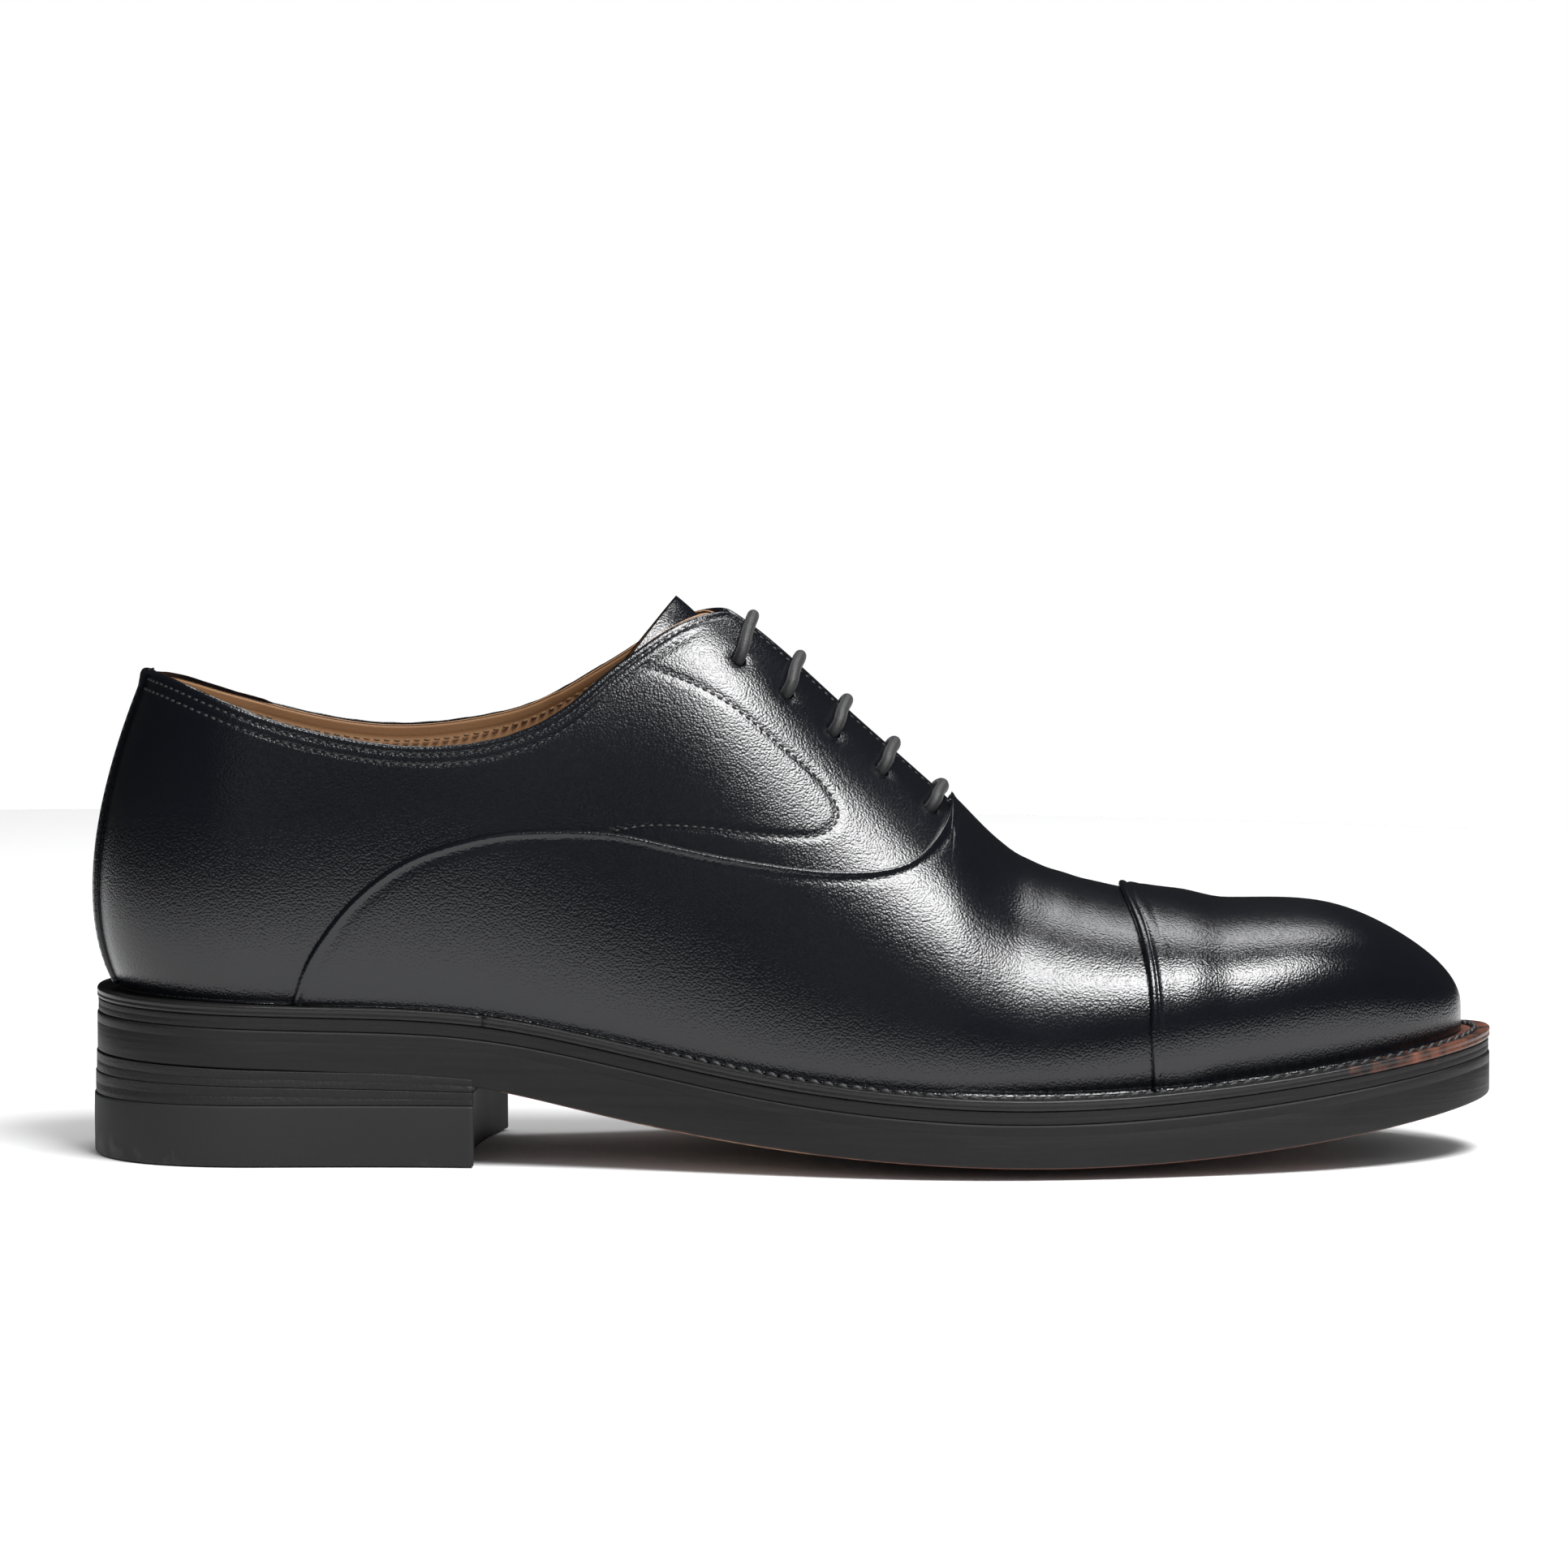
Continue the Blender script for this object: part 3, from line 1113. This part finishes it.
def stitchParts(points, normals, radius, length, stretch=1.0, around=8, rings=7):
    # points are stitch centres on a line; each stitch lies along the line
    ahead = np.gradient(points, axis=0)
    ahead /= np.maximum(np.linalg.norm(ahead, axis=1, keepdims=True), 1e-9)
    normals = normals / np.linalg.norm(normals, axis=1, keepdims=True)
    across = np.cross(ahead, normals)
    across /= np.maximum(np.linalg.norm(across, axis=1, keepdims=True), 1e-9)
    u = np.linspace(-1, 1, rings)
    size = np.sqrt(np.maximum(1 - np.abs(u)**3.2, 0)) * 0.98 + 0.02
    angle = np.linspace(0, 2 * math.pi, around, endpoint=False)
    along = ahead[:, None, None] * (u * length / 2)[None, :, None, None]
    side = across[:, None, None] * (size[:, None] * np.cos(angle)[None])[None, ..., None]
    up = normals[:, None, None] * (size[:, None] * np.sin(angle)[None])[None, ..., None]
    bow = normals[:, None, None] * (-(u**2) * radius * 0.9)[None, :, None, None]
    body = points[:, None, None] + along + side * radius * stretch + up * radius + bow
    verts = body.reshape(-1, 3)
    one = gridFaces(rings, around, closed=True).tolist()
    one += [list(range(around)), list(range((rings - 1) * around, rings * around))[::-1]]
    each = rings * around
    faces = [[v + k * each for v in f] for k in range(len(points)) for f in one]
    return verts, faces


def seamStitches(s, t, side, lift, pitch, radius, length, skip=0.6):
    line = upperAt(s, t, side, -np.asarray(lift) * np.ones_like(s))
    normal = outwardAt(s, t, side)
    run = np.concatenate([[0], np.cumsum(np.linalg.norm(np.diff(line, axis=0), axis=1))])
    at = np.arange(skip, run[-1] - skip, pitch)
    place = np.stack([np.interp(at, run, line[:, i]) for i in range(3)], -1)
    facing = np.stack([np.interp(at, run, normal[:, i]) for i in range(3)], -1)
    return stitchParts(place, facing, radius, length)


def insideEdge(side, distance, fromS, toS):
    # the line this far in from the quarter's top edge
    s = np.linspace(fromS, toS, 700)
    high = np.minimum(collarTop(s, side), 1.0)
    top = upperAt(s, high, side)
    t = high.copy()
    for _ in range(60):
        p = upperAt(s, t, side)
        gap = distanceToLine(p, top)
        step = np.clip((distance - gap), -1.5, 1.5) / 90
        t = np.clip(t - step, 0, 1)
    return s, t


threadLook = {"radius": 0.27, "length": 1.45, "pitch": 1.85, "sink": -0.08}
upperStitches = []
tanStitches = []
for side in (-1, 1):
    s, t = insideEdge(side, quarterLook["rowOne"], 7.2, 186)
    upperStitches.append(seamStitches(s, t, side, threadLook["sink"] - 0.12, threadLook["pitch"],
                                      threadLook["radius"], threadLook["length"]))
    s, t = insideEdge(side, quarterLook["rowTwo"], 7.2, 129)
    upperStitches.append(seamStitches(s, t, side, threadLook["sink"] - 0.12, threadLook["pitch"],
                                      threadLook["radius"], threadLook["length"]))
    s, t = reinforcementLine(side)
    upperStitches.append(seamStitches(s, t, side, threadLook["sink"] - 0.03, threadLook["pitch"],
                                      threadLook["radius"], threadLook["length"]))
    s = np.linspace(0, 128, 500)
    high = np.minimum(collarTop(s, side, 2.0), 0.999)
    rowAt = liningLook["rowAt"] + liningLook["below"]
    t, e = rowsFromTop(s, np.zeros_like(s), high, side, [0, rowAt], 4, depth=2.0)
    line = upperAt(s, t[:, 1], side, liningDepth(s) * 0.62 + 0.5 + liningLook["thickness"])
    normal = -outwardAt(s, t[:, 1], side)
    run = np.concatenate([[0], np.cumsum(np.linalg.norm(np.diff(line, axis=0), axis=1))])
    at = np.arange(0.5, run[-1], 2.2)
    place = np.stack([np.interp(at, run, line[:, i]) for i in range(3)], -1)
    facing = np.stack([np.interp(at, run, normal[:, i]) for i in range(3)], -1)
    tanStitches.append(stitchParts(place, facing, 0.3, 1.6))
    # backstay edge rows
    height = np.linspace(40, 102, 200)
    sBack = np.full_like(height, backstayLook["halfSpan"] * 0.86)
    tBack = upToHeight(sBack, side, height)
    upperStitches.append(seamStitches(sBack, tBack, side, backstayLook["proud"] - 0.2, 2.0, 0.28,
                                      1.5))
upperThread = addMesh("upperStitching", *joinAny(upperStitches), weld=False)
finishPiece(upperThread, "thread", "polished_leather")
liningThread = addMesh("liningStitching", *joinAny(tanStitches), weld=False)
finishPiece(liningThread, "liningThread", "lining_leather")
print("stitching made")

# Bottom: welt and rand, midsole, outsole and heel, each with its own edge profile
soleLook = {
    "weltThick": 2.2, "midThick": 2.9, "gap": 0.05, "weltFrom": 85.95, "inner": 11.5,
    "guardFrom": 271.0, "guardInset": 2.6, "guardThick": 2.4, "weltStitchIn": 3.3,
    "weltStitchPitch": 3.1,
}


def bottomStations():
    # (station or heel angle, kind) along one side, from heel back to toe tip
    heel = [("heel", a) for a in np.linspace(90, 0, 26)]
    body = [("body", x) for x in [*np.linspace(38, 243, 76)[1:-1], 85.9, 86.0]]
    toe = [("toe", a) for a in np.linspace(0, 90, 44)]
    return heel + sorted(body, key=lambda p: p[1]) + toe


def sideEdge(side, extra=0.0):
    # one side of the bottom's outline, as (x, y) rows from heel back to toe tip
    widths = lateralWidths if side < 0 else medialWidths
    rows = []
    axis = shape["heelAxis"]
    for kind, value in bottomStations():
        if kind == "heel":
            a = math.radians(value)
            margin = float(weltMargin(0)) + extra
            reach = shape["heelBack"][0] + margin
            x = axis - reach * math.sin(a)
            margin = float(weltMargin(max(x, 0))) + extra
            n = shape["heelRound"]
            half = float(widths[0](axis)) + margin
            y = half * max(0.0, 1 - ((axis - x) / reach)**n)**(1 / n)
        else:
            front = shape["toeTip"] + float(weltMargin(300)) + extra
            x = value if kind == "body" else 243 + (front - 243) * math.sin(math.radians(value))
            margin = float(weltMargin(x)) + extra
            y = (float(widths[0](x)) + margin) * float(closing(x, -margin)) if value < 89.9 or (
                kind == "body") else 0.0
        rows.append((x, side * y))
    return np.array(rows)


outlineLateral, outlineMedial = sideEdge(-1), sideEdge(1)
stationCount = len(outlineLateral)
loop = np.concatenate([outlineLateral, outlineMedial[::-1][1:-1]])
tangent = np.roll(loop, -1, 0) - np.roll(loop, 1, 0)
outwardLoop = np.stack([tangent[:, 1], -tangent[:, 0]], -1)
outwardLoop /= np.linalg.norm(outwardLoop, axis=1, keepdims=True)
if (outwardLoop[stationCount // 2] @ np.array([0, -1.0])) < 0:
    outwardLoop = -outwardLoop


def ringRows(profile, keep=None):
    # profile rows are (inward offset, depth below the welt top)
    rows = []
    for inward, below in profile:
        xy = loop - outwardLoop * inward
        z = weltTop(xy[:, 0]) - below
        rows.append(np.concatenate([xy, z[:, None]], 1))
    grid = np.stack(rows, 1)
    return grid if keep is None else grid[keep]


def closedRing(grid, closed):
    # skin round a closed profile swept along the outline, with flat ends where it stops
    rows, cols = grid.shape[:2]
    if closed:
        grid = np.concatenate([grid, grid[:1]])
        rows += 1
    faces = gridFaces(rows, cols, closed=True, flip=True).tolist()
    if not closed:
        faces += [list(range(cols)), list(range((rows - 1) * cols, rows * cols))[::-1]]
    return grid.reshape(-1, 3), faces


def roundedEdge(top, bottom, proud, radius, grooves=(), steps=5, inner=None):
    # closed profile: outer edge with rounded corners and pressed grooves, plain inside
    inner = soleLook["inner"] if inner is None else inner
    profile = [(inner, top)]
    angles = np.linspace(0, math.pi / 2, steps)
    profile += [(radius - radius * math.sin(a) - proud, top + radius - radius * math.cos(a))
                for a in angles]
    for depth, width, size in grooves:
        profile += [(-proud, depth - width), (size - proud, depth - width * 0.3),
                    (size - proud, depth + width * 0.3), (-proud, depth + width)]
    profile += [(radius - radius * math.cos(a) - proud, bottom - radius + radius * math.sin(a))
                for a in angles]
    return profile + [(inner, bottom)]


weltStation = np.array([p[0] for p in loop])
frontOrder = np.where(weltStation >= soleLook["weltFrom"])[0]
rearOrder = np.where(weltStation <= soleLook["weltFrom"])[0]
rearOrder = np.concatenate([rearOrder[rearOrder > stationCount],
                            rearOrder[rearOrder <= stationCount]])


def paintWear(obj, amount):
    # amount(points) in the shoe's own millimetres gives the wear mask
    mesh = obj.data
    co = np.array([v.co for v in mesh.vertices], float) * 1000
    co[:, 0] += shape["length"] / 2
    co[:, 1] -= shape["sideways"]
    layer = mesh.attributes.new("wear", "FLOAT", "POINT")
    layer.data.foreach_set("value", amount(co).astype(np.float32))


def edgeWearAt(p):
    # scuffed at the toe's rim, and a little along the ball
    return 0.52 * smoothStep(p[:, 0], 252, 288) + 0.15 * bump(p[:, 0], 232, 18)


weltProfile = roundedEdge(0.0, soleLook["weltThick"], 0.0, 0.45,
                          grooves=((1.15, 0.35, 0.12),))
weltProfile.insert(1, (soleLook["weltStitchIn"] + 1.0, 0.0))
weltProfile.insert(2, (soleLook["weltStitchIn"] + 0.5, 0.30))
weltProfile.insert(3, (soleLook["weltStitchIn"] - 0.5, 0.30))
weltProfile.insert(4, (soleLook["weltStitchIn"] - 1.0, 0.0))
frontGrid = ringRows(weltProfile, frontOrder)
welt = addMesh("welt", *closedRing(frontGrid, False))
paintWear(welt, edgeWearAt)
finishPiece(welt, "welt", "welt_leather", "welt")

rand = addMesh("heelRand", *closedRing(ringRows(weltProfile, rearOrder), False))
paintWear(rand, lambda p: 0.15 * np.ones(len(p)))
finishPiece(rand, "welt", "welt_leather", "heel_rand")

midTop = soleLook["weltThick"] + soleLook["gap"]
midBottom = soleLook["weltThick"] + soleLook["midThick"]
midProfile = roundedEdge(midTop, midBottom, -0.25, 0.35, grooves=((3.6, 0.25, 0.08),))
midsole = addMesh("midsole", *closedRing(ringRows(midProfile), True))
paintWear(midsole, lambda p: edgeWearAt(p) * 0.3)
finishPiece(midsole, "soleEdge", "sole_leather", "midsole")


def soleUnder(x, y):
    # the outsole's underside, hollowed a little across the waist
    return soleEdge(x) - soleCrown(x) * np.maximum(0, 1 - (y / 62)**2)


def outsoleMesh():
    top = midBottom + soleLook["gap"]
    edge = roundedEdge(top, shape["stack"], 0.0, 0.6,
                       grooves=((7.4, 0.2, 0.07),),
                       inner=0)[1:-1]
    rings = ringRows(edge)
    # the lower rows follow the hollow of the underside
    drop = soleEdge(rings[..., 0]) - soleUnder(rings[..., 0], rings[..., 1])
    share = smoothStep(weltTop(rings[..., 0]) - rings[..., 2], 9, 13.7)
    rings[..., 2] -= drop * share
    rows, cols = rings.shape[:2]
    verts = [rings.reshape(-1, 3)]
    faces = []
    for i in range(rows):
        n = (i + 1) % rows
        faces += [[i * cols + j, i * cols + j + 1, n * cols + j + 1, n * cols + j]
                  for j in range(cols - 1)]
    base = rows * cols
    inset, across = soleLook["guardInset"], 12
    last = stationCount - 1
    for level, which in (("bottom", cols - 1), ("top", 0)):
        lineStart = base
        grid = []
        for k in range(1, last):
            a = rings[k, which]
            b = rings[rows - k, which]
            margin = min(inset, abs(b[1] - a[1]) * 0.3)
            ys = np.concatenate([[a[1] + margin - 0.05, a[1] + margin],
                                 np.linspace(a[1] + margin, b[1] - margin, across + 1)[1:-1],
                                 [b[1] - margin, b[1] - margin + 0.05]])
            share = (ys - a[1]) / (b[1] - a[1])
            p = a[None] + (b - a)[None] * share[:, None]
            if level == "bottom":
                p[:, 2] = soleUnder(p[:, 0], p[:, 1])
                if p[0, 0] >= soleLook["guardFrom"] - 0.02 and k < last - 2:
                    p[1:-1, 2] += soleLook["guardThick"] + 0.05
            grid.append(p)
        grid = np.array(grid)
        m = grid.shape[1]
        verts.append(grid.reshape(-1, 3))
        base += grid.shape[0] * m
        flip = level == "top"
        quads = gridFaces(grid.shape[0], m, lineStart, flip=flip).tolist()
        for k in range(grid.shape[0] - 1):
            i = k + 1
            aLow, aHigh = i * cols + which, (i + 1) * cols + which
            bLow, bHigh = (rows - i) * cols + which, (rows - i - 1) * cols + which
            g0, g1 = lineStart + k * m, lineStart + (k + 1) * m
            one, two = [aLow, g0, g1, aHigh], [g0 + m - 1, bLow, bHigh, g1 + m - 1]
            quads += [one[::-1], two[::-1]] if flip else [one, two]
        for k, tipIndex in ((0, which), (grid.shape[0] - 1, last * cols + which)):
            i = k + 1
            ring = [i * cols + which] + [lineStart + k * m + j for j in range(m)]
            ring += [(rows - i) * cols + which, tipIndex]
            turned = (k == 0) != flip
            quads.append(ring[::-1] if turned else ring)
        faces += quads
    return np.concatenate(verts), faces


outsole = addMesh("outsole", *outsoleMesh())
faceOutward(outsole.data)
paintWear(outsole, lambda p: edgeWearAt(p) * 0.15 + 0.55 * bump(
    p[:, 2] - soleUnder(p[:, 0], p[:, 1]), 0, 0.7) * bump(p[:, 0], 140, 45))
finishPiece(outsole, "soleEdge", "sole_leather", "outsole")
outsole.data.materials.append(materials["soleBottom"])
for face in outsole.data.polygons:
    centre = face.center
    x, y, z = centre.x * 1000 + shape["length"] / 2, centre.y * 1000 - shape["sideways"], (
        centre.z * 1000)
    if x > 90 and face.normal.z < -0.6 and z < float(soleUnder(x, y)) + 2.7:
        face.material_index = 1
print("welt, midsole and outsole made")

# Heel: a polygon with a hollow breast, cut from the same outline
heelLook = {
    "breast": [(91, -70), (84, -33), (83.4, 0), (89.5, 33), (103, 70)],
    "splitBack": 17.8, "splitBreast": 15.9, "topPiece": 13.0, "waver": 0.12,
}
breastLine = lineOf(heelLook["breast"], 400)


def heelOutline(extra):
    lateral, medial = sideEdge(-1, extra), sideEdge(1, extra)
    out = []
    for rows in (lateral, medial):
        limit = np.interp(rows[:, 1], breastLine[:, 1], breastLine[:, 0])
        keep = rows[rows[:, 0] < limit - 0.3]
        after = rows[len(keep)]
        a, b = keep[-1], after
        for _ in range(30):
            m = (a + b) / 2
            inside = m[0] < np.interp(m[1], breastLine[:, 1], breastLine[:, 0])
            a, b = (m, b) if inside else (a, m)
        out.append(np.concatenate([keep, [a]]))
    lateral, medial = out
    y = np.linspace(lateral[-1, 1], medial[-1, 1], 42)[1:-1]
    front = np.stack([np.interp(y, breastLine[:, 1], breastLine[:, 0]), y], -1)
    polygon = np.concatenate([lateral, front, medial[::-1][:-1]])
    run = np.concatenate([[0], np.cumsum(np.linalg.norm(np.diff(
        np.concatenate([polygon, polygon[:1]]), axis=0), axis=1))])
    at = np.linspace(0, run[-1], 320, endpoint=False)
    closedLine = np.concatenate([polygon, polygon[:1]])
    line = np.stack([np.interp(at, run, closedLine[:, i]) for i in range(2)], -1)
    step = np.roll(line, -1, 0) - np.roll(line, 1, 0)
    outward = np.stack([step[:, 1], -step[:, 0]], -1)
    outward /= np.linalg.norm(outward, axis=1, keepdims=True)
    return line, outward


def heelSlab(name, extra, low, high, radius, grooves, material, slotName, node, seed):
    line, outward = heelOutline(extra)
    random = np.random.default_rng(seed)
    angles = np.linspace(0, math.pi / 2, 5)
    steps = [("high", radius - radius * math.sin(a), radius - radius * math.cos(a))
             for a in angles]
    for share, size in grooves:
        steps += [("mid", 0.0, share - 0.035), ("mid", size, share - 0.012),
                  ("mid", size, share + 0.012), ("mid", 0.0, share + 0.035)]
    steps += [("low", radius - radius * math.cos(a), radius - radius * math.sin(a))
              for a in angles]
    wave = np.zeros(len(line))
    for k in range(1, 9):
        phase, size = random.uniform(0, 6.28), random.uniform(0.3, 1) / k
        wave += size * np.sin(np.arange(len(line)) / len(line) * 2 * math.pi * k * 3 + phase)
    rows = []
    top, bottom = high(line[:, 0]), low(line[:, 0], line[:, 1])
    for kind, inward, amount in steps:
        xy = line - outward * (inward + heelLook["waver"] * 0.3 * wave[:, None] * (kind == "mid"))
        if kind == "high":
            z = top - amount
        elif kind == "low":
            z = bottom + amount
        else:
            z = top + (bottom - top) * amount + heelLook["waver"] * wave
        rows.append(np.concatenate([xy, z[:, None]], 1))
    grid = np.stack(rows, 1)
    count, cols = grid.shape[:2]
    verts = grid.reshape(-1, 3)
    faces = [[i * cols + j, i * cols + j + 1, ((i + 1) % count) * cols + j + 1,
              ((i + 1) % count) * cols + j] for i in range(count) for j in range(cols - 1)]
    faces += [[i * cols for i in range(count)], [i * cols + cols - 1 for i in range(count)][::-1]]
    slab = addMesh(name, verts, faces)
    faceOutward(slab.data)
    for face in slab.data.polygons:
        face.use_smooth = len(face.vertices) <= 6
    paintWear(slab, lambda p: 0.3 * bump(p[:, 0], 0, 12) + 0.35 * bump(p[:, 2], 0, 1.6))
    return finishPiece(slab, material, slotName, node)


def splitHeight(x):
    back, front = heelLook["splitBack"], heelLook["splitBreast"]
    return back + (front - back) * np.asarray(x) / 84


heelSlab("heelLiftUpper", 0.2, lambda x, y: splitHeight(x),
         lambda x: soleEdge(x) - 0.05, 0.22, ((0.5, 0.07),), "heelStack", "sole_leather",
         "heel_lift_1", 3)
heelSlab("heelLiftLower", 0.4, lambda x, y: heelLook["topPiece"] + 0.05 + 0 * x,
         lambda x: splitHeight(x) - 0.05, 0.22, ((0.5, 0.06),), "heelStack", "sole_leather",
         "heel_lift_2", 5)
heelSlab("heelTopPiece", 0.7, lambda x, y: 0 * x,
         lambda x: heelLook["topPiece"] + 0 * x, 0.55, ((0.42, 0.0),), "rubber",
         "rubber", "heel_top_piece", 7)
print("heel made")

# Welt stitching: thick waxed thread lying in the welt's groove
stitchRows = []
line = loop[frontOrder] - outwardLoop[frontOrder] * soleLook["weltStitchIn"]
line3 = np.concatenate([line, weltTop(line[:, 0])[:, None] + 0.12], 1)
run = np.concatenate([[0], np.cumsum(np.linalg.norm(np.diff(line3, axis=0), axis=1))])
at = np.arange(1.5, run[-1] - 1, soleLook["weltStitchPitch"])
place = np.stack([np.interp(at, run, line3[:, i]) for i in range(3)], -1)
stitchRows.append(stitchParts(place, np.repeat([[0, 0, 1.0]], len(place), 0), 0.62, 3.0,
                              stretch=0.95))
weltThread = addMesh("weltStitching", *joinAny(stitchRows), weld=False)
finishPiece(weltThread, "thread", "welt_leather")

# The remaining CAD pieces keep their shape and take their own finishes
finishOf = {
    "vamp_lining": "lining", "heel_sock": "lining", "insole": "insole", "insole_rib": "canvas",
    "cork_filler": "cork", "shank": "steel", "heel_counter": "stiffener",
    "toe_puff": "stiffener", "eyelets_lateral": "eyelet", "eyelets_medial": "eyelet",
    "lace_tips": "tip", "toe_guard": "rubber", "waist_stud": "rubber", "heel_nails": "nail",
}
for name, finish in finishOf.items():
    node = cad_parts[name]
    node.data.materials.clear()
    node.data.materials.append(materials[finish])
print("inner pieces finished")

print("all pieces in place")
